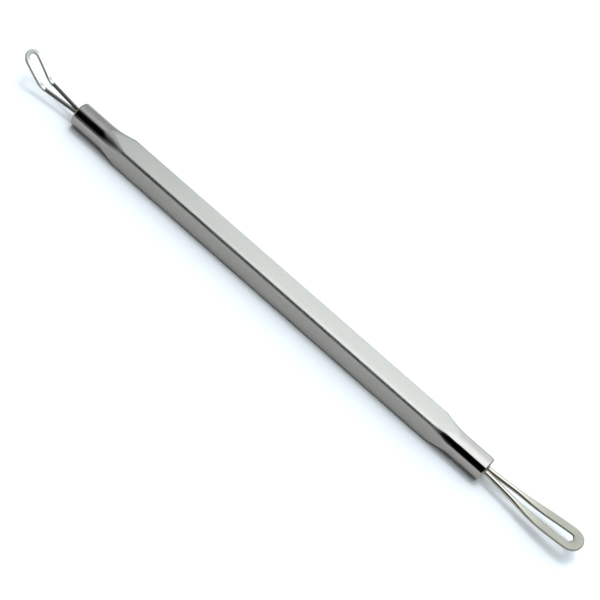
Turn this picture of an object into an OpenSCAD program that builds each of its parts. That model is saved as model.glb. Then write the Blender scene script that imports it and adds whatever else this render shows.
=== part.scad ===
// Double-ended blackhead extractor.
// A square steel bar handle with turned round ends. Each end holds a bent wire loop,
// set in a blind bore and fixed with a fill of braze.
// Units are millimetres. +X runs along the handle to the wide loop, +Z is up.
// The origin is the centre of the bar's underside, on which the tool lies.

/* [Handle] */
// width of the square bar across its flats
bar_width = 4; // [3.2:0.1:6]
// radius of the bar's four long edges
bar_edge_r = 0.6; // [0.3:0.05:1]
// length of the handle from end face to end face
handle_len = 79.2; // [60:0.2:110]

/* [Turned ends] */
// depth that the lathe takes off the flats of each end
turned_cut = 0.05; // [0.02:0.01:0.2]
// length of the straight round part of each end
turned_len = 5.2; // [4:0.1:12]
// radius of the hollow shoulder between the round part and the bar
shoulder_r = 17; // [8:0.5:30]
// bevel on the rim of each end face
rim_bevel = 0.3; // [0.05:0.05:0.4]

/* [Wide loop] */
// diameter of the wire before it is flattened
wide_wire_d = 0.84; // [0.6:0.02:1]
// reach of the loop beyond the handle, measured along the wire's plane
wide_reach = 17; // [12:0.5:24]
// outside width of the loop at its widest
wide_width = 4.16; // [3.6:0.02:5]
// width of the flattened strip along the sides
wide_strip_w = 1.36; // [1:0.02:1.5]
// width of the flattened strip at the tip
wide_tip_w = 1.62; // [1:0.02:1.8]
// thickness of the flattened strip
wide_strip_t = 0.44; // [0.3:0.02:0.6]
// distance from the end face where the wire starts to flatten
wide_flat_from = 4.6; // [3:0.1:6]
// distance over which the wire flattens
wide_flat_run = 6.4; // [2:0.1:7]
// upward bend of the loop in degrees
wide_bend = 8; // [0:1:20]
// distance from the end face where the bend starts
wide_bend_from = 6.3; // [4:0.1:8]
// length of wire that the bend takes
wide_bend_run = 5; // [3:0.1:6]

/* [Angled loop] */
// diameter of the wire before it is flattened
fine_wire_d = 0.6; // [0.4:0.02:0.8]
// reach of the loop beyond the handle, measured along the wire's plane
fine_reach = 12.3; // [10:0.1:18]
// outside width of the loop at its widest
fine_width = 3; // [2.4:0.02:4]
// width of the flattened strip
fine_strip_w = 0.68; // [0.5:0.02:0.9]
// thickness of the flattened strip
fine_strip_t = 0.44; // [0.2:0.02:0.5]
// distance from the end face to the step where the strip begins
fine_flat_from = 5.9; // [4:0.1:7]
// upward bend of the loop in degrees
fine_bend = 37; // [0:1:60]
// length of wire that the bend takes
fine_bend_run = 1.5; // [0.8:0.1:2.5]

/* [Wire seats] */
// depth of the blind bore that holds the wires
seat_depth = 5; // [3:0.1:8]
// wall of braze around the pair of wires
seat_wall = 0.06; // [0.04:0.01:0.2]
// height of braze standing out of the bore
braze_proud = 0.14; // [0.05:0.01:0.2]
// length of bore left below the wire ends
seat_bottom = 0.4; // [0.2:0.1:1]

/* [Hidden] */
$fn = 48;
// fit between pieces that touch
fit_gap = 0.005;
axis_z = bar_width / 2;
half_len = handle_len / 2;
corner_reach = (bar_width / 2 - bar_edge_r) * sqrt(2) + bar_edge_r;
turned_r = bar_width / 2 - turned_cut;
over_r = corner_reach + 0.1;
// a slight angle where the hollow shoulder leaves the round part
shoulder_start = 1;
shoulder_end = acos(cos(shoulder_start) - (over_r - turned_r) / shoulder_r);
shoulder_len = shoulder_r * (sin(shoulder_end) - sin(shoulder_start));
leg_gap = 0.02;
wide_leg_y = (wide_wire_d + leg_gap) / 2;
fine_leg_y = (fine_wire_d + leg_gap) / 2;
wide_seat_r = wide_leg_y + wide_wire_d / 2 + seat_wall;
fine_seat_r = fine_leg_y + fine_wire_d / 2 + seat_wall;
wide_mid_y = (wide_width - wide_strip_w) / 2;
fine_mid_y = (fine_width - fine_strip_w) / 2;
wide_arc_v = wide_reach - wide_mid_y - wide_tip_w / 2;
fine_arc_v = fine_reach - fine_mid_y - fine_strip_w / 2;
leg_straight = 0.3;
fine_step_run = 0.12;
fine_bend_from = fine_flat_from + fine_step_run;
wide_ease = 1.3;
fine_ease = 1.25;
wide_side = 0.75;
fine_side = 0.6;
leg_steps = 30;
tip_steps = 24;
corner_points = 6;

// section of the bar, a square with rounded corners
module bar_section() {
    core = bar_width - 2 * bar_edge_r;
    square([bar_width, core], center = true);
    square([core, bar_width], center = true);
    for (sx = [-1, 1], sy = [-1, 1])
        translate([sx * core / 2, sy * core / 2]) circle(r = bar_edge_r);
}

// half profile of the turned handle: radius across, length up
module turned_half() {
    difference() {
        polygon([
            [0, 0],
            [over_r, 0],
            [over_r, half_len],
            [turned_r - rim_bevel, half_len],
            [0, half_len]
        ]);
        // round part
        translate([turned_r, half_len - turned_len]) square([over_r, turned_len + 1]);
        // rim
        polygon([
            [turned_r - rim_bevel, half_len],
            [turned_r, half_len - rim_bevel],
            [turned_r + 1, half_len - rim_bevel],
            [turned_r + 1, half_len + 1],
            [turned_r - rim_bevel, half_len + 1]
        ]);
        // hollow shoulder
        intersection() {
            translate([
                turned_r + shoulder_r * cos(shoulder_start),
                half_len - turned_len + shoulder_r * sin(shoulder_start)
            ]) circle(r = shoulder_r, $fn = 180);
            translate([turned_r - 0.5, half_len - turned_len - shoulder_len - 1])
                square([over_r, shoulder_len + 1]);
        }
    }
}

module turned_body() {
    for (end = [0, 180])
        rotate([0, 90 + end, 0]) rotate_extrude($fn = 96) turned_half();
}

// blind bore in an end face, along +X from the face inwards
module seat_bore(r) {
    translate([-seat_depth, 0, 0]) rotate([0, 90, 0]) cylinder(r = r, h = seat_depth + 1);
}

module handle() {
    color([0.72, 0.72, 0.7])
    translate([0, 0, axis_z])
    difference() {
        intersection() {
            translate([-half_len - 1, 0, 0]) rotate([90, 0, 90])
                linear_extrude(height = handle_len + 2) bar_section();
            turned_body();
        }
        translate([half_len, 0, 0]) seat_bore(wide_seat_r);
        rotate([0, 0, 180]) translate([half_len, 0, 0]) seat_bore(fine_seat_r);
    }
}

// A loop is first drawn flat: v runs out along the tool from the end face, y across it.
// The flat drawing is then bent upwards, and a section is swept along it.

function ramp(t) = t <= 0 ? 0 : t >= 1 ? 1 : t * t * (3 - 2 * t);
function clamped(t) = min(1, max(0, t));

// distance of a leg's centre line from the middle at v
function leg_y(v, y0, y1, arc_v, ease) =
    v <= leg_straight ? y0
    : y0 + (y1 - y0) * pow(sin(90 * clamped((v - leg_straight) / (arc_v - leg_straight))), ease);

// stations of one leg from inside the bore to the start of the tip's arc
function leg_v(i, arc_v) =
    i == 0 ? -(seat_depth - seat_bottom)
    : leg_straight + (arc_v - leg_straight) * (i - 1) / (leg_steps - 1);

function plan(y0, y1, arc_v, ease) = concat(
    [for (i = [0 : leg_steps]) [leg_v(i, arc_v), leg_y(leg_v(i, arc_v), y0, y1, arc_v, ease)]],
    [for (j = [1 : tip_steps - 1])
        [arc_v + y1 * sin(180 * j / tip_steps), y1 * cos(180 * j / tip_steps)]],
    [for (i = [leg_steps : -1 : 0])
        [leg_v(i, arc_v), -leg_y(leg_v(i, arc_v), y0, y1, arc_v, ease)]]
);

function unit(p) = p / norm(p);

// direction of travel at a station
function heading(p, i) =
    i <= 1 ? [1, 0]
    : i >= len(p) - 2 ? [-1, 0]
    : unit(unit(p[i + 1] - p[i]) + unit(p[i] - p[i - 1]));

// the bend: slope, and the point on the bent middle line, at v
function slope_at(v, from, run, bend) = bend * clamped((v - from) / run);
function bent(v, from, run, bend) =
    bend == 0 || v <= from ? [v, 0, 0]
    : let (
        r = run / (bend * PI / 180),
        a = slope_at(v, from, run, bend),
        rest = max(0, v - from - run)
    )
    [from + r * sin(a) + rest * cos(a), 0, r * (1 - cos(a)) + rest * sin(a)];

// a point of the wire's section: half width a, half thickness b, corner radius e
function section_point(a, b, e, k) =
    let (
        q = floor(k / corner_points),
        t = 90 * (k % corner_points + 0.5) / corner_points + 90 * q,
        sa = (q == 0 || q == 3) ? 1 : -1,
        sb = q < 2 ? 1 : -1
    )
    [sa * (a - e) + e * cos(t), sb * (b - e) + e * sin(t)];

function ring(p, h, a, b, e, from, run, bend) =
    let (
        s = slope_at(p[0], from, run, bend),
        along = [cos(s), 0, sin(s)],
        up = [-sin(s), 0, cos(s)],
        centre = bent(p[0], from, run, bend) + [0, p[1], 0],
        travel = h[0] * along + h[1] * [0, 1, 0],
        side = cross(up, travel)
    )
    [for (k = [0 : 4 * corner_points - 1])
        let (s2 = section_point(a, b, e, k)) centre + s2[0] * side + s2[1] * up];

// skin over a list of rings, closed with a flat cap at both ends
module skin(rings) {
    n = len(rings[0]);
    m = len(rings);
    points = [for (r = rings) each r];
    sides = [for (i = [0 : m - 2], k = [0 : n - 1]) each [
        [i * n + k, i * n + (k + 1) % n, (i + 1) * n + (k + 1) % n],
        [i * n + k, (i + 1) * n + (k + 1) % n, (i + 1) * n + k]
    ]];
    caps = [[for (k = [n - 1 : -1 : 0]) k], [for (k = [0 : n - 1]) (m - 1) * n + k]];
    polyhedron(points = points, faces = concat(sides, caps), convexity = 6);
}

// share of the flattening at v, and the strip's half width towards the tip
function wide_flat(v) = ramp((v - wide_flat_from) / wide_flat_run);
function wide_half_w(v) =
    let (f = wide_flat(v), g = ramp((v - wide_arc_v) / wide_mid_y))
    (wide_wire_d * (1 - f) + (wide_strip_w * (1 - g) + wide_tip_w * g) * f) / 2;
function wide_half_t(v) =
    (wide_wire_d * (1 - wide_flat(v)) + wide_strip_t * wide_flat(v)) / 2;
function wide_corner(v) =
    wide_half_t(v) * (1 - wide_flat(v) + wide_side * wide_flat(v));

module wide_shape() {
    p = plan(wide_leg_y, wide_mid_y, wide_arc_v, wide_ease);
    skin([for (i = [0 : len(p) - 1])
        let (v = p[i][0])
        ring(p[i], heading(p, i), wide_half_w(v), wide_half_t(v), wide_corner(v),
            wide_bend_from, wide_bend_run, wide_bend)]);
}

// the angled loop is pressed flat in one step
function fine_flat(v) = clamped((v - fine_flat_from) / fine_step_run);
function fine_half_w(v) =
    (fine_wire_d * (1 - fine_flat(v)) + fine_strip_w * fine_flat(v)) / 2;
function fine_half_t(v) =
    (fine_wire_d * (1 - fine_flat(v)) + fine_strip_t * fine_flat(v)) / 2;
function fine_corner(v) =
    fine_half_t(v) * (1 - fine_flat(v) + fine_side * fine_flat(v));

module angled_shape() {
    p = plan(fine_leg_y, fine_mid_y, fine_arc_v, fine_ease);
    skin([for (i = [0 : len(p) - 1])
        let (v = p[i][0])
        ring(p[i], heading(p, i), fine_half_w(v), fine_half_t(v), fine_corner(v),
            fine_bend_from, fine_bend_run, fine_bend)]);
}

module wide_loop() {
    color([0.75, 0.75, 0.72])
    translate([half_len, 0, axis_z]) wide_shape();
}

module angled_loop() {
    color([0.75, 0.75, 0.72])
    translate([-half_len, 0, axis_z]) rotate([0, 0, 180]) angled_shape();
}

// fill of a bore, with a low cone of braze where the wires come out
module braze_fill(seat_r, wire_d, wire_y) {
    r = seat_r - fit_gap;
    rotate([0, 90, 0])
    difference() {
        union() {
            translate([0, 0, -seat_depth + fit_gap])
                cylinder(r = r, h = seat_depth - fit_gap);
            cylinder(r1 = r, r2 = r - braze_proud, h = braze_proud);
        }
        for (side = [-1, 1])
            translate([0, side * wire_y, seat_bottom - seat_depth - fit_gap])
                cylinder(r = wire_d / 2 + leg_gap, h = seat_depth + 1);
    }
}

module wide_braze() {
    color([0.6, 0.56, 0.46])
    translate([half_len, 0, axis_z]) braze_fill(wide_seat_r, wide_wire_d, wide_leg_y);
}

module angled_braze() {
    color([0.6, 0.56, 0.46])
    translate([-half_len, 0, axis_z]) rotate([0, 0, 180])
        braze_fill(fine_seat_r, fine_wire_d, fine_leg_y);
}

handle();
wide_loop();
angled_loop();
wide_braze();
angled_braze();
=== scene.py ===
# Looks of the blackhead extractor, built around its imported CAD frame.
# The frame is the CAD's own: +X along the handle to the wide loop, +Z up, and the origin
# at the centre of the bar's underside. Sizes are in millimetres, meshes in metres.
import math

import bpy
import numpy as np
from mathutils import Matrix, Vector


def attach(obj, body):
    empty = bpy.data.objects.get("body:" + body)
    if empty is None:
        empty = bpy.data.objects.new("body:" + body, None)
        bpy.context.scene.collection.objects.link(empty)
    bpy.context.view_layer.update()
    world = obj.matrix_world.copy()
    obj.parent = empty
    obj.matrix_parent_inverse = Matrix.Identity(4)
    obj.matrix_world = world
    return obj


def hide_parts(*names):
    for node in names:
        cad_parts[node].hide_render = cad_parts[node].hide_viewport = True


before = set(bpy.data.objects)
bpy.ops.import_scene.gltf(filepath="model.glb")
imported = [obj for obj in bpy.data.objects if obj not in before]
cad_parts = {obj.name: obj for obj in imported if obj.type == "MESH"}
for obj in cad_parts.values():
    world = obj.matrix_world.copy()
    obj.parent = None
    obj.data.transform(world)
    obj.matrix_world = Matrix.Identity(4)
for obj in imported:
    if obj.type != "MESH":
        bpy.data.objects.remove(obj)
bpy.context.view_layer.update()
scene = bpy.context.scene
MM = 0.001

# Handle, as in the CAD
BAR = 4.0
EDGE_R = 0.6
HALF = 79.2 / 2
AXIS_Z = BAR / 2
TURNED_R = BAR / 2 - 0.05
TURNED_LEN = 5.2
SHOULDER_R = 17.0
SHOULDER_START = math.radians(1)
RIM = 0.3

# Handle, wear and finish
CROWN = 0.04  # how far the middle of a flat stands above its edges
SOFT = 0.3  # how far the rounding of an edge reaches into the flats in the shading
SOFT_EASE = 0.35  # how gently the shading turns into that rounding and out of it
POLISHED_FROM = 0.8  # share of a flat's half width from which its polish grows towards the edge
WORN = 0.8  # length of the flats over which their boundary with the shoulder is worn
WORN_FROM, WORN_SHARE = 0.6, 0.4  # where along the shoulder its wear starts, and how far it goes
SATIN_FROM = 0.55  # where along the shoulder its polish begins to give way to the bar's satin

# Handle, rings and points
FLAT_STEPS, EDGE_STEPS = 32, 14
ROUND_STEPS, SHOULDER_STEPS, BAR_STEPS, WORN_STEPS = 20, 28, 60, 6
BORE_STEPS, MOUTH_STEPS, FACE_STEPS, RIM_STEPS = 8, 6, 5, 8

# Wire seats, as in the CAD
SEAT_DEPTH = 5.0
SEAT_BOTTOM = 0.4
SEAT_WALL = 0.06
FIT_GAP = 0.005
LEG_GAP = 0.02
PROUD = 0.14  # how far the CAD's braze stands out of the end face

# Mouth of the bores, rounded here alone
MOUTH_R = 0.05

# Wire loops, rings and finish
LEG_STEPS, TIP_STEPS, STEP_RINGS, CORNER_POINTS = 90, 72, 12, 12
STEP_MARGIN = 0.03  # how far the close rings reach past a sudden flattening
# A strip's top and underside keep its own colour, while its narrow sides take some of a darker one,
# a painted shade
TOP_FROM, TOP_RUN = 0.2, 0.5  # where a strip's top colour starts on its rounding, and its run
UNDERSIDE_SHIFT = 5  # moves the underside's grain, so that it isn't a copy of the top's

# Wire loops, as in the CAD, but for the last two values: how much of the strip's own colour the
# legs and the narrow sides keep; the rest is a darker colour, on the narrow sides a painted shade
LEG_STRAIGHT = 0.3
WIDE = dict(
    wire=0.84, reach=17.0, width=4.16, strip=1.36, tip=1.62, thick=0.44,
    flat_from=4.6, flat_run=6.4, stepped=False, bend=8.0, bend_from=6.3, bend_run=5.0,
    ease=1.3, side=0.75, leg_bright=0.9, side_unshaded=1.0,
)
FINE = dict(
    wire=0.60, reach=12.3, width=3.0, strip=0.68, tip=0.68, thick=0.44,
    flat_from=5.9, flat_run=0.12, stepped=True, bend=37.0, bend_from=6.02, bend_run=1.5,
    ease=1.25, side=0.6, leg_bright=0.0, side_unshaded=0.5,
)


# Node graphs
class Graph:
    """A node tree with short calls that add and link its nodes."""

    def __init__(self, tree):
        self.tree = tree
        tree.nodes.clear()

    def add(self, kind, inputs=None, **settings):
        node = self.tree.nodes.new(kind)
        for key, value in settings.items():
            setattr(node, key, value)
        for key, value in (inputs or {}).items():
            self.feed(node.inputs[key], value)
        return node

    def feed(self, socket, value):
        if isinstance(value, bpy.types.NodeSocket):
            self.tree.links.new(value, socket)
        else:
            socket.default_value = value

    def math(self, operation, a, b=0.0):
        return self.add("ShaderNodeMath", {0: a, 1: b}, operation=operation).outputs[0]

    def scaled(self, value, factor, offset=0.0):
        return self.math("ADD", self.math("MULTIPLY", value, factor), offset)

    def step(self, value, low, high, a=0.0, b=1.0):
        """Goes smoothly from a to b while value goes from low to high."""
        inputs = {"Value": value, "From Min": low, "From Max": high, "To Min": a, "To Max": b}
        node = self.add("ShaderNodeMapRange", inputs, interpolation_type="SMOOTHSTEP")
        return node.outputs["Result"]

    def mix(self, share, a, b):
        return self.add("ShaderNodeMix", {0: share, 2: a, 3: b}, data_type="FLOAT").outputs[0]

    def mix_color(self, share, a, b):
        """Mixes two colours, each of them three numbers or a socket."""
        a, b = (c if isinstance(c, bpy.types.NodeSocket) else (*c, 1) for c in (a, b))
        return self.add("ShaderNodeMix", {0: share, 6: a, 7: b}, data_type="RGBA").outputs[2]

    def noise(self, vector, stretch, detail):
        """Noise of about 0 to 1; stretch is its frequency along each axis of the vector."""
        spread = self.add("ShaderNodeMapping", {"Vector": vector, "Scale": stretch})
        inputs = {"Vector": spread.outputs[0], "Scale": 1.0, "Detail": detail}
        return self.add("ShaderNodeTexNoise", inputs).outputs["Fac"]

    def attribute(self, name, output="Fac"):
        return self.add("ShaderNodeAttribute", attribute_name=name).outputs[output]

    def millimetres(self):
        place = self.add("ShaderNodeTexCoord").outputs["Object"]
        inputs = {0: place, "Scale": 1 / MM}
        return self.add("ShaderNodeVectorMath", inputs, operation="SCALE").outputs[0]


def new_material(name):
    material = bpy.data.materials.new(name)
    material.use_nodes = True
    return material, Graph(material.node_tree)


DARKER, LIGHTER = 0.92, 1.06  # how far a metal's colour wanders round its own


def metal(name, color, build, others=(), grain=0.0):
    """A metal whose build function gives roughness, colour share, bump height and depth in mm.

    Others are pairs of an attribute and the colour where that attribute is 0. Grain is the
    anisotropy of the grooves along X.
    """
    material, g = new_material(name)
    roughness, share, height, depth = build(g)
    bump = g.add("ShaderNodeBump", {"Strength": 1.0, "Distance": depth * MM, "Height": height})
    shade = g.mix_color(share, [c * DARKER for c in color], [c * LIGHTER for c in color])
    for attribute, other in others:
        shade = g.mix_color(g.attribute(attribute), other, shade)
    shader = g.add("ShaderNodeBsdfPrincipled", {
        "Base Color": shade, "Metallic": 1.0, "Roughness": roughness, "Normal": bump.outputs[0],
    })
    if grain:
        shader.inputs["Anisotropic"].default_value = grain
        around = g.add("ShaderNodeTangent", direction_type="RADIAL", axis="X")
        g.feed(shader.inputs["Tangent"], around.outputs[0])
    g.add("ShaderNodeOutputMaterial", {"Surface": shader.outputs[0]})
    return material


def scratch_lines(g, vector, stretch):
    """Sparse hairlines: the high crests of a long drawn-out noise."""
    return g.step(g.noise(vector, stretch, 2.0), 0.66, 0.74)


def bar_finish(g):
    """Satin grain along the bar, flecks, a few hairlines, and polished edges and shoulders.

    The attribute bar is 0 on the turned ends and 1 on the flats.
    """
    place = g.millimetres()
    bar = g.attribute("bar")
    grain = g.noise(place, (0.3, 16, 16), 4.0)
    blotch = g.noise(place, (0.16, 0.7, 0.7), 2.0)
    fleck = g.noise(place, (2.2, 4.5, 4.5), 3.0)
    scratch = scratch_lines(g, place, (0.9, 11, 11))
    rough = g.math("ADD", g.scaled(grain, 0.10, 0.29), g.scaled(blotch, 0.08))
    rough = g.math("SUBTRACT", rough, g.scaled(g.attribute("edge"), 0.12))
    rough = g.mix(bar, 0.10, g.math("ADD", rough, g.scaled(scratch, 0.05)))
    share = g.math("ADD", g.scaled(blotch, 0.3), g.scaled(fleck, 1.3, -0.45))
    share = g.math("ADD", share, g.scaled(grain, 0.3))
    height = g.math("SUBTRACT", grain, g.scaled(scratch, 0.5))
    return rough, share, g.math("MULTIPLY", height, bar), 0.0016


def turned_finish(g):
    """Polished, with the fine rings that turning leaves."""
    place = g.millimetres()
    rings = g.noise(place, (18, 0.25, 0.25), 3.0)
    blotch = g.noise(place, (0.7, 0.7, 0.7), 2.0)
    scratch = scratch_lines(g, place, (3, 3, 14))
    rough = g.math("ADD", g.scaled(rings, 0.05, 0.03), g.scaled(blotch, 0.05))
    rough = g.math("ADD", rough, g.scaled(scratch, 0.05))
    return rough, blotch, g.math("SUBTRACT", rings, g.scaled(scratch, 0.4)), 0.0007


def wire_finish(polish, satin, edge, dull):
    """Drawn wire that turns from polished to satin where it is flattened.

    Polish and satin are the two roughnesses, edge is what a strip's edges add, and dull is what
    the loop's tip adds to the roughness; four times as much pushes the tip's colour to its darker
    end, a painted shade.
    """
    def build(g):
        run = g.attribute("sweep", "Vector")
        flat = g.attribute("flatness")
        wear = g.attribute("edge")
        tip = g.attribute("tip")
        grain = g.noise(run, (0.8, 14, 0), 4.0)
        blotch = g.noise(g.millimetres(), (1.1, 1.1, 1.1), 3.0)
        scratch = scratch_lines(g, run, (1.6, 9, 0))
        base = g.math("ADD", g.mix(flat, polish, satin), g.scaled(tip, dull))
        base = g.math("ADD", base, g.math("MULTIPLY", wear, g.scaled(flat, edge)))
        rough = g.math("ADD", base, g.scaled(grain, 0.06, -0.03))
        rough = g.math("ADD", rough, g.scaled(blotch, 0.10, -0.05))
        rough = g.math("ADD", rough, g.scaled(scratch, 0.05))
        # Painted shade: the tip's colour is pushed towards its darker end
        share = g.math("SUBTRACT", blotch, g.scaled(tip, dull * 4))
        height = g.math("ADD", g.scaled(grain, 0.6), g.scaled(blotch, 0.4))
        return rough, share, height, 0.0015
    return build


def braze_finish(g):
    """Dull and lumpy, with darker flux stains."""
    place = g.millimetres()
    lumps = g.noise(place, (2.2, 2.2, 2.2), 3.0)
    stain = g.noise(place, (5, 5, 5), 4.0)
    return g.scaled(stain, 0.25, 0.38), stain, lumps, 0.03


TURNED = (0.31, 0.28, 0.257)
bar_steel = metal("bar_steel", (0.38, 0.355, 0.325), bar_finish, [("bar", TURNED)], grain=0.85)
turned_steel = metal("turned_steel", TURNED, turned_finish)
# In both wire steels the colour paired with bright is darker: on a strip's narrow sides it is a
# painted shade, on the legs a darker colour of the wire
strip_steel = metal(
    "strip_steel", (0.285, 0.265, 0.22), wire_finish(polish=0.14, satin=0.30, edge=0.18, dull=0.05),
    [("flatness", (0.37, 0.335, 0.285)), ("bright", (0.26, 0.23, 0.19))])
fine_steel = metal(
    "fine_steel", (0.46, 0.43, 0.40), wire_finish(polish=0.12, satin=0.20, edge=-0.07, dull=0.25),
    [("bright", (0.17, 0.15, 0.135))])
braze_metal = metal("braze_metal", (0.34, 0.30, 0.23), braze_finish)


# Meshes
def smooth_mesh(name, points, faces, materials, face_material=None, values=None):
    """A smooth object from points in millimetres; values are per-point attributes."""
    mesh = bpy.data.meshes.new(name)
    mesh.from_pydata([tuple(c * MM for c in p) for p in points], [], faces)
    for material in materials:
        mesh.materials.append(material)
    if face_material is not None:
        mesh.polygons.foreach_set("material_index", face_material)
    mesh.polygons.foreach_set("use_smooth", [True] * len(mesh.polygons))
    for key, column in (values or {}).items():
        column = np.asarray(column, dtype=np.float32)
        kind, field = ("FLOAT", "value") if column.ndim == 1 else ("FLOAT_VECTOR", "vector")
        mesh.attributes.new(key, kind, "POINT").data.foreach_set(field, column.ravel())
    mesh.update()
    piece = bpy.data.objects.new(name, mesh)
    scene.collection.objects.link(piece)
    return piece


def stand_for(piece, node):
    """Puts a piece in the place of a CAD node."""
    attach(piece, "root")
    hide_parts(node)


def signed_volume(points, faces):
    p = np.asarray(points)
    return sum(float(np.dot(p[f[0]], np.cross(p[f[i]], p[f[i + 1]])))
               for f in faces for i in range(1, len(f) - 1))


def clamped(t):
    return min(1.0, max(0.0, t))


def ramp(t):
    """Goes smoothly from 0 to 1 while t does."""
    t = clamped(t)
    return t * t * (3 - 2 * t)


# Handle
def bar_section():
    """Points and outward normals round the bar's section, and each point's share of edge."""
    tilt = math.atan(2 * CROWN / (BAR / 2 - EDGE_R))
    centre = BAR / 2 - CROWN - EDGE_R * math.cos(tilt)
    flat = centre + EDGE_R * math.sin(tilt)
    turn = math.pi / 2 - 2 * tilt
    arc = EDGE_R * turn

    def leaning(s):
        """The normal's turn where the path is s past the edge's start."""
        share = clamped((s + SOFT) / (arc + 2 * SOFT))
        wave = math.sin(2 * math.pi * share) / (2 * math.pi)
        return tilt + turn * (share - wave * SOFT_EASE)

    quarter = []
    for i in range(FLAT_STEPS):
        y = flat * (2 * i / FLAT_STEPS - 1)
        slope = math.atan(2 * CROWN * y / flat ** 2)
        if abs(y) > flat - SOFT:
            slope = math.copysign(leaning(abs(y) - flat), y)
        edge = 0.5 * ramp((abs(y) / flat - POLISHED_FROM) / (1 - POLISHED_FROM))
        quarter.append((y, BAR / 2 - CROWN * (y / flat) ** 2,
                        math.sin(slope), math.cos(slope), edge))
    for i in range(EDGE_STEPS):
        t = tilt + turn * i / EDGE_STEPS
        slope = leaning(arc * i / EDGE_STEPS)
        edge = 0.5 + 0.5 * math.sin(math.pi * i / EDGE_STEPS)
        quarter.append((centre + EDGE_R * math.sin(t), centre + EDGE_R * math.cos(t),
                        math.sin(slope), math.cos(slope), edge))
    quarters = [np.array(quarter)]
    for _ in range(3):
        y, z, normal_y, normal_z, edge = quarters[-1].T
        quarters.append(np.column_stack([z, -y, normal_z, -normal_y, edge]))
    rows = np.concatenate(quarters)
    return rows[:, :2], rows[:, 2:4], rows[:, 4]


def shoulder(u):
    """Radius and slope of the hollow shoulder at a distance from the end face."""
    w = (u - TURNED_LEN) / SHOULDER_R + math.sin(SHOULDER_START)
    radius = TURNED_R + SHOULDER_R * (math.cos(SHOULDER_START) - np.sqrt(1 - w * w))
    return radius, np.arcsin(w)


def runout(radius):
    """Distance from the end face at which the hollow shoulder reaches a radius."""
    rise = math.cos(SHOULDER_START) - (radius - TURNED_R) / SHOULDER_R
    return TURNED_LEN + SHOULDER_R * (np.sqrt(1 - rise * rise) - math.sin(SHOULDER_START))


def end_profile(bore):
    """Distance from the end face, radius and slope, from the bore's bottom to the shoulder."""
    rows = [(u, bore, 180.0) for u in np.linspace(SEAT_DEPTH, MOUTH_R, BORE_STEPS)]
    for t in np.linspace(0, 90, MOUTH_STEPS)[1:]:
        a = math.radians(t)
        rows.append((MOUTH_R * (1 - math.sin(a)), bore + MOUTH_R * (1 - math.cos(a)), 180 - t))
    for r in np.linspace(bore + MOUTH_R, TURNED_R - RIM, FACE_STEPS)[1:]:
        rows.append((0.0, r, 90.0))
    for t in np.linspace(0, 90, RIM_STEPS)[1:]:
        a = math.radians(t)
        rows.append((RIM * (1 - math.cos(a)), TURNED_R - RIM + RIM * math.sin(a), 90 - t))
    rows += [(u, TURNED_R, 0.0) for u in np.linspace(RIM, TURNED_LEN, ROUND_STEPS)[1:]]
    return rows


def turned_end(sign, bore, section):
    """Rings of points and normals from a bore's bottom out, and back along the turned end."""
    reach = np.hypot(section[:, 0], section[:, 1])
    away = section / reach[:, None]
    stop = runout(reach)
    rings = [(np.full(len(reach), u), np.full(len(reach), r), np.full(len(reach), math.radians(s)))
             for u, r, s in end_profile(bore)]
    for f in np.linspace(0, 1, SHOULDER_STEPS)[1:]:
        u = TURNED_LEN + (stop - TURNED_LEN) * f
        rings.append((u, *shoulder(u)))
    made = []
    for u, radius, slope in rings:
        place = np.column_stack([sign * (HALF - u), away * radius[:, None]]) + [0, 0, AXIS_Z]
        normal = np.column_stack([sign * np.sin(slope), away * np.cos(slope)[:, None]])
        made.append((place, normal))
    return made


def blended(a, b, share):
    """Unit normals on the way from a to b."""
    n = a * (1 - share) + b * share
    return n / np.linalg.norm(n, axis=1)[:, None]


def worn_boundary(rings, flat_normal):
    """Turns a shoulder's last normals part of the way to the flats, so that no sharp line shows."""
    first = len(rings) - SHOULDER_STEPS
    worn = []
    for j, (place, normal) in enumerate(rings):
        f = (j - first) / (SHOULDER_STEPS - 1)
        share = WORN_SHARE * ramp((f - WORN_FROM) / (1 - WORN_FROM))
        worn.append((place, blended(normal, flat_normal, share)))
    return worn


def bar_rings(last_left, first_right, section, flat_normal):
    """Rings along the bar, from the left shoulder's last one to the right shoulder's first."""
    (start, left_normal), (stop, right_normal) = last_left, first_right
    start, stop = start[:, 0], stop[:, 0]
    near = np.linspace(0, WORN, WORN_STEPS)
    rings = [(start + d, blended(left_normal, flat_normal, ramp(d / WORN))) for d in near]
    rings += [(start + WORN + (stop - start - 2 * WORN) * f, flat_normal)
              for f in np.linspace(0, 1, BAR_STEPS)[1:-1]]
    rings += [(stop - d, blended(right_normal, flat_normal, ramp(d / WORN))) for d in near[::-1]]
    return [(np.column_stack([x, section + [0, AXIS_Z]]), normal) for x, normal in rings]


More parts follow.
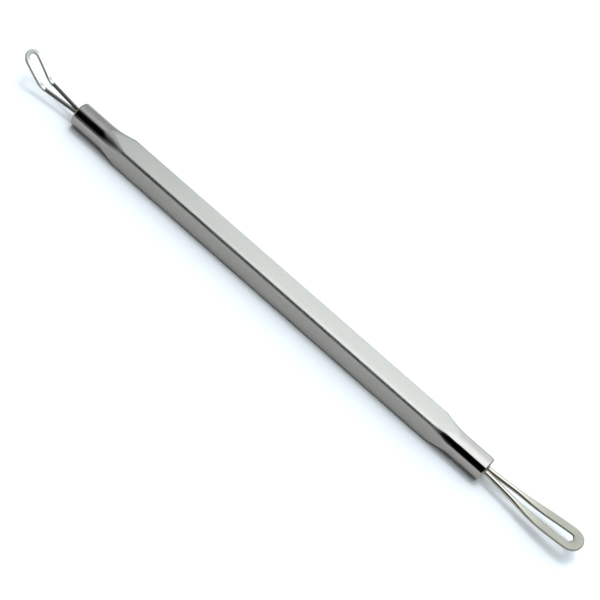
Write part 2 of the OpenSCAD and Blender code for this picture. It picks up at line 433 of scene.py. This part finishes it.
def make_handle(wide_bore, fine_bore):
    """The handle as one skin, from the bottom of one bore over the bar to that of the other."""
    section, facing, edge = bar_section()
    count = len(section)
    flat_normal = np.column_stack([np.zeros(count), facing])
    left = worn_boundary(turned_end(-1, fine_bore, section), flat_normal)
    right = worn_boundary(turned_end(1, wide_bore, section), flat_normal)[::-1]
    bar = bar_rings(left[-1], right[0], section, flat_normal)
    satin = [ramp((f - SATIN_FROM) / (1 - SATIN_FROM)) for f in np.linspace(0, 1, SHOULDER_STEPS)]
    satin = [0.0] * (len(left) - SHOULDER_STEPS) + satin
    points, faces, normals, zones, bar_share = [], [], [], [], []
    for rings, shares in ((left, satin), (bar, [1.0] * len(bar)), (right, satin[::-1])):
        first = len(points) // count - 1 if points else 0
        for place, _ in (rings[1:] if points else rings):
            points.extend(place)
        bar_share += shares[1:] if bar_share else shares
        for j in range(len(rings) - 1):
            for k in range(count):
                n = (k + 1) % count
                corners = ((j, k), (j, n), (j + 1, n), (j + 1, k))
                faces.append([(first + a) * count + b for a, b in corners])
                normals.append([rings[a][1][b] for a, b in corners])
                zones.append(1 if shares[j] + shares[j + 1] == 0 else 0)
    for sign, ring_start in ((-1, 0), (1, len(points) - count)):
        hub = len(points)
        points.append((sign * (HALF - SEAT_DEPTH), 0, AXIS_Z))
        for k in range(count):
            pair = (ring_start + (k + 1) % count, ring_start + k)
            faces.append([hub, *(pair if sign < 0 else pair[::-1])])
            normals.append([(sign, 0, 0)] * 3)
            zones.append(1)
    if signed_volume(points, faces) < 0:
        faces = [f[::-1] for f in faces]
        normals = [n[::-1] for n in normals]
    wear = np.concatenate([np.tile(edge, (len(points) - 2) // count), [0, 0]])
    values = {"edge": wear, "bar": np.concatenate([np.repeat(bar_share, count), [0, 0]])}
    piece = smooth_mesh("steel_handle", points, faces, [bar_steel, turned_steel], zones, values)
    piece.data.normals_split_custom_set([tuple(n) for face in normals for n in face])
    stand_for(piece, "handle")


# Wire loops
def flattening(s, v):
    """0 where the wire is round and 1 where it is a flat strip."""
    t = (v - s["flat_from"]) / s["flat_run"]
    return clamped(t) if s["stepped"] else ramp(t)


def loop_plan(s):
    """The loop drawn flat: how far out and how far across each station lies.

    It also gives how far out the tip's arc starts, and its radius.
    """
    inner = (s["wire"] + LEG_GAP) / 2
    outer = (s["width"] - s["strip"]) / 2
    arc = s["reach"] - outer - s["tip"] / 2
    out = {-(SEAT_DEPTH - SEAT_BOTTOM)} | set(np.linspace(LEG_STRAIGHT, arc, LEG_STEPS))
    if s["stepped"]:
        ends = s["flat_from"], s["flat_from"] + s["flat_run"]
        out |= set(np.linspace(ends[0] - STEP_MARGIN, ends[1] + STEP_MARGIN, STEP_RINGS))
    leg = []
    for v in sorted(out):
        t = clamped((v - LEG_STRAIGHT) / (arc - LEG_STRAIGHT))
        leg.append((v, inner + (outer - inner) * math.sin(math.pi / 2 * t) ** s["ease"]))
    turn = [math.pi * j / TIP_STEPS for j in range(1, TIP_STEPS)]
    tip = [(arc + outer * math.sin(a), outer * math.cos(a)) for a in turn]
    return leg + tip + [(v, -y) for v, y in reversed(leg)], arc, outer


def bent(s, v):
    """Slope and place of the bent middle line at v."""
    full = math.radians(s["bend"])
    radius = s["bend_run"] / full
    slope = full * clamped((v - s["bend_from"]) / s["bend_run"])
    if v <= s["bend_from"]:
        return 0.0, np.array([v, 0.0, 0.0])
    rest = max(0.0, v - s["bend_from"] - s["bend_run"])
    x = s["bend_from"] + radius * math.sin(slope) + rest * math.cos(slope)
    return slope, np.array([x, 0.0, radius * (1 - math.cos(slope)) + rest * math.sin(slope)])


def make_loop(name, node, s, sign, material):
    """A wire swept along the bent plan, whose section goes from round to a flat strip."""
    plan, arc, outer = loop_plan(s)
    flat_plan = np.array(plan)
    travel = np.gradient(flat_plan, axis=0)
    travel /= np.linalg.norm(travel, axis=1)[:, None]
    travel[:2], travel[-2:] = (1, 0), (-1, 0)
    run = np.concatenate([[0], np.cumsum(np.linalg.norm(np.diff(flat_plan, axis=0), axis=1))])
    count = 4 * CORNER_POINTS
    points, flatness, edge, bright, tip, sweep = [], [], [], [], [], []
    for (v, y), (along_part, across_part), distance in zip(plan, travel, run):
        f = flattening(s, v)
        widen = ramp((v - arc) / outer)
        # Half the width, half the thickness and the radius of the section's corners
        a = (s["wire"] * (1 - f) + (s["strip"] * (1 - widen) + s["tip"] * widen) * f) / 2
        b = (s["wire"] * (1 - f) + s["thick"] * f) / 2
        e = b * (1 - f + s["side"] * f)
        slope, centre = bent(s, v)
        along = np.array([math.cos(slope), 0, math.sin(slope)])
        up = np.array([-math.sin(slope), 0, math.cos(slope)])
        side = np.cross(up, along_part * along + across_part * np.array([0, 1, 0]))
        for k in range(count):
            corner, within = divmod(k, CORNER_POINTS)
            t = math.radians(90 * (within + 0.5) / CORNER_POINTS)
            turn = t + corner * math.pi / 2
            across = (1 if corner in (0, 3) else -1) * (a - e) + e * math.cos(turn)
            above = (1 if corner < 2 else -1) * (b - e) + e * math.sin(turn)
            p = centre + np.array([0, y, 0]) + across * side + above * up
            points.append((sign * (HALF + p[0]), sign * p[1], AXIS_Z + p[2]))
            flatness.append(f)
            edge.append(math.sin(2 * t))
            # Painted shade: the strip's narrow sides take some of the darker colour, its top and
            # underside keep their own
            up_share = ramp((abs(math.sin(turn)) - TOP_FROM) / TOP_RUN)
            side_share = (1 - up_share) * f * s["side_unshaded"]
            bright.append(f * (up_share + side_share) + (1 - f) * s["leg_bright"])
            tip.append(widen)
            sweep.append((distance, across + (0 if corner < 2 else UNDERSIDE_SHIFT), 0))
    rings = len(plan)
    faces = [[j * count + k, j * count + (k + 1) % count,
              (j + 1) * count + (k + 1) % count, (j + 1) * count + k]
             for j in range(rings - 1) for k in range(count)]
    faces.append(list(range(count))[::-1])
    faces.append([(rings - 1) * count + k for k in range(count)])
    if signed_volume(points, faces) < 0:
        faces = [f[::-1] for f in faces]
    values = {"flatness": flatness, "edge": edge, "bright": bright, "tip": tip, "sweep": sweep}
    stand_for(smooth_mesh(name, points, faces, [material], None, values), node)


# Braze
BRAZE_RINGS, BRAZE_TURNS = 16, 64
BULGE, CREST = 0.55, 0.6  # heights of the fill and of its middle point, as shares of PROUD
CLIMB, CLIMB_FADE = 0.07, 0.06  # how far it climbs a wire, and over what distance that fades


def lump(y, z):
    """The unevenness of the fill, from waves of a few lengths."""
    return 0.02 * math.sin(7 * y + 2) * math.sin(9 * z + 1) + 0.012 * math.sin(23 * y + 17 * z)


def make_braze(name, node, sign, bore, wire):
    """A lumpy fill of the bore that climbs a little way up the wires."""
    radius = bore - FIT_GAP
    wire_y = (wire + LEG_GAP) / 2
    bottom = sign * (HALF - SEAT_DEPTH + FIT_GAP)
    around = [2 * math.pi * j / BRAZE_TURNS for j in range(BRAZE_TURNS)]
    points = [(sign * (HALF + PROUD * CREST), 0, AXIS_Z)]
    for i in range(1, BRAZE_RINGS + 1):
        f = i / BRAZE_RINGS
        r = radius * f
        for a in around:
            y, z = r * math.cos(a), r * math.sin(a)
            gap = min(abs(math.hypot(y - w, z) - wire / 2) for w in (-wire_y, wire_y))
            climb = CLIMB * math.exp(-gap / CLIMB_FADE)
            rise = PROUD * BULGE * (1 - f ** 4) + climb * (1 - f ** 6) + lump(y, z) * (1 - f)
            points.append((sign * (HALF + max(0.0, rise)), y, AXIS_Z + z))
    points += [(bottom, radius * math.cos(a), AXIS_Z + radius * math.sin(a)) for a in around]
    points.append((bottom, 0, AXIS_Z))
    last = 1 + BRAZE_RINGS * BRAZE_TURNS
    faces = []
    for j in range(BRAZE_TURNS):
        n = (j + 1) % BRAZE_TURNS
        faces += [[0, 1 + j, 1 + n], [len(points) - 1, last + n, last + j]]
        for base in range(1, last, BRAZE_TURNS):
            above = base + BRAZE_TURNS
            faces.append([base + j, above + j, above + n, base + n])
    if signed_volume(points, faces) < 0:
        faces = [f[::-1] for f in faces]
    stand_for(smooth_mesh(name, points, faces, [braze_metal]), node)


def bore_for(s):
    """Radius of the bore that holds a loop's two legs."""
    return (s["wire"] + LEG_GAP) / 2 + s["wire"] / 2 + SEAT_WALL


make_handle(bore_for(WIDE), bore_for(FINE))
make_loop("wide_wire_loop", "wide_loop", WIDE, 1, strip_steel)
make_loop("angled_wire_loop", "angled_loop", FINE, -1, fine_steel)
make_braze("wide_braze_fill", "wide_braze", 1, bore_for(WIDE), WIDE["wire"])
make_braze("angled_braze_fill", "angled_braze", -1, bore_for(FINE), FINE["wire"])


# Floor: its colour for scattered light, and where it is seen, mirrored or seen through something
FLOOR_HALF = 6000.0
FLOOR_COLOR = (0.80, 0.88, 0.92)
FLOOR_SEEN = (0.88, 0.86, 0.86)


def make_floor():
    """A pale floor that is white where it is seen, and keeps the shadow."""
    material, g = new_material("floor_white")
    rays = g.add("ShaderNodeLightPath").outputs
    seen = g.math("MAXIMUM", rays["Is Camera Ray"], rays["Is Glossy Ray"])
    seen = g.math("MAXIMUM", seen, rays["Is Transmission Ray"])
    shader = g.add("ShaderNodeBsdfDiffuse", {"Color": g.mix_color(seen, FLOOR_COLOR, FLOOR_SEEN)})
    g.add("ShaderNodeOutputMaterial", {"Surface": shader.outputs[0]})
    h = FLOOR_HALF
    corners = [(-h, -h, 0), (h, -h, 0), (h, h, 0), (-h, h, 0)]
    smooth_mesh("floor", corners, [[0, 1, 2, 3]], [material])


make_floor()


# Studio light: a soft panel overhead that falls off to the back and the sides, a dark card in
# front, and a little light below the card.
# A direction has x, its part to the right, and height, the angle in degrees from the front
# horizon, over the top, to the back one.
LIGHT_TINT = (0.89, 1.0, 1.06)
OVERHEAD, BACK, BACK_CORNER = 3.15, 2.15, 2.3
SIDE_SHARE, RIGHT_SHARE, LEFT_SHARE, FAR_SIDE = 0.38, 0.6, 0.44, 0.32
CARD, CARD_LEFT, CARD_RIGHT = 0.002, 0.10, 0.08
FRONT, FRONT_SIDE = 0.12, 0.75
FRONT_TOP, FRONT_TOP_SIDE = 13.0, 50.0  # top of the light below the card, and its rise sideways
PANEL_EDGE, PANEL_EDGE_LEFT = 60.0, 73.0  # the panel's front edge, and its rise to the left
KEY, KEY_WIDTH, KEY_FROM = 0.24, 16.0, (-0.15, 98.0)


def panel_light(g, x, left, height):
    """How bright the panel is."""
    def dimmed(panel, where, share):
        return g.math("MULTIPLY", panel, g.scaled(where, share - 1.0, 1.0))

    panel = g.step(height, 88.0, 150.0, OVERHEAD, BACK)
    # Dimmer to the right, first above the tool and then behind it
    right = g.math("MULTIPLY", g.step(x, 0.25, 0.52), g.step(height, 100.0, 125.0, 1.0, 0.0))
    panel = dimmed(panel, right, SIDE_SHARE)
    right = g.math("MULTIPLY", g.step(x, 0.02, 0.30), g.step(height, 100.0, 120.0))
    panel = dimmed(panel, right, RIGHT_SHARE)
    # Dimmer to the left, and dim past both of its ends
    panel = g.math("MULTIPLY", panel, g.step(x, -0.285, -0.215, LEFT_SHARE, 1.0))
    ends = g.math("ADD", g.step(x, 0.48, 0.62), g.step(left, 0.60, 0.78))
    panel = g.mix(ends, panel, FAR_SIDE)
    # A bright corner behind on the right, which the strip of the angled loop mirrors
    corner = g.math("MULTIPLY", g.step(x, 0.45, 0.55), g.step(x, 0.67, 0.78, 1.0, 0.0))
    corner = g.math("MULTIPLY", corner, g.step(height, 120.0, 132.0))
    corner = g.math("MULTIPLY", corner, g.step(height, 148.0, 160.0, 1.0, 0.0))
    return g.math("ADD", panel, g.math("MULTIPLY", corner, BACK_CORNER))


def panel_share(g, x, left, height):
    """0 below the panel's front edge and 1 above it; the edge is softer to both sides."""
    edge = g.scaled(g.math("MINIMUM", left, 0.3), PANEL_EDGE_LEFT, PANEL_EDGE)
    edge = g.math("ADD", edge, g.step(left, 0.30, 0.45, 0.0, -8.0))
    soft = g.math("ADD", g.step(left, 0.0, 0.3, 4.0, 15.0), g.step(left, 0.30, 0.42, 0.0, 20.0))
    soft = g.math("ADD", soft, g.step(x, 0.3, 0.6, 0.0, 12.0))
    return g.step(height, g.math("SUBTRACT", edge, soft), g.math("ADD", edge, soft))


def front_light(g, x, left, height):
    """The dark card, which lets a little light past its ends, and the light below it."""
    card = g.math("ADD", g.step(left, 0.35, 0.55, CARD, CARD_LEFT),
                  g.step(x, 0.5, 0.7, 0.0, CARD_RIGHT))
    aside = g.math("ABSOLUTE", x)
    below = g.step(height, 0.0, g.scaled(aside, FRONT_TOP_SIDE, FRONT_TOP), 1.0, 0.0)
    below = g.math("MULTIPLY", below, g.scaled(aside, FRONT_SIDE, FRONT))
    return g.math("ADD", card, below)


def make_world():
    world = bpy.data.worlds.new("studio")
    scene.world = world
    world.use_nodes = True
    g = Graph(world.node_tree)
    direction = g.add("ShaderNodeTexCoord").outputs["Generated"]
    x, y, z = g.add("ShaderNodeSeparateXYZ", {0: direction}).outputs
    turn = g.math("ARCTAN2", g.math("MAXIMUM", z, 0.0), g.math("MULTIPLY", y, -1.0))
    height = g.math("MULTIPLY", turn, 180 / math.pi)
    left = g.math("MAXIMUM", g.math("MULTIPLY", x, -1.0), 0.0)
    light = g.mix(panel_share(g, x, left, height), front_light(g, x, left, height),
                  panel_light(g, x, left, height))
    sky = g.add("ShaderNodeBackground", {"Color": (*LIGHT_TINT, 1), "Strength": light})
    g.add("ShaderNodeOutputWorld", {"Surface": sky.outputs[0]})


def make_key():
    """A soft lamp above, which deepens the shadows on the floor but isn't mirrored in the metal."""
    x, height = KEY_FROM[0], math.radians(KEY_FROM[1])
    rise = math.sqrt(1 - x * x)
    towards = Vector((x, -rise * math.cos(height), rise * math.sin(height)))
    data = bpy.data.lights.new("key", "SUN")
    data.energy = KEY * math.pi / towards.z
    data.angle = math.radians(KEY_WIDTH)
    data.color = [c / max(LIGHT_TINT) for c in LIGHT_TINT]
    lamp = bpy.data.objects.new("key", data)
    lamp.rotation_mode = "QUATERNION"
    lamp.rotation_quaternion = towards.to_track_quat("Z", "Y")
    lamp.visible_glossy = False
    scene.collection.objects.link(lamp)


make_world()
make_key()


# Camera, fitted to the photograph
AZIMUTH, ELEVATION, ROLL = 12.9225, 49.5077, 31.3243
DISTANCE = 255.697
TARGET = (3.5066, 0.935, AXIS_Z)
FOCAL_PIXELS, IMAGE_PIXELS, SENSOR = 1770.0, 600.0, 36.0
NEAREST, FARTHEST = 0.01, 20.0  # in metres


def make_camera():
    a, e, r = (math.radians(v) for v in (AZIMUTH, ELEVATION, ROLL))
    back = Vector((math.sin(a) * math.cos(e), -math.cos(a) * math.cos(e), math.sin(e)))
    level = Vector((0, 0, 1)).cross(back).normalized()
    upright = back.cross(level)
    right = math.cos(r) * level + math.sin(r) * upright
    up = math.cos(r) * upright - math.sin(r) * level
    data = bpy.data.cameras.new("camera")
    data.sensor_fit = "HORIZONTAL"
    data.sensor_width = SENSOR
    data.lens = SENSOR * FOCAL_PIXELS / IMAGE_PIXELS
    data.clip_start, data.clip_end = NEAREST, FARTHEST
    camera = bpy.data.objects.new("camera", data)
    scene.collection.objects.link(camera)
    turn = Matrix((right, up, back)).transposed().to_4x4()
    camera.matrix_world = Matrix.Translation((Vector(TARGET) + back * DISTANCE) * MM) @ turn
    scene.camera = camera


make_camera()
scene.view_settings.view_transform = "Standard"
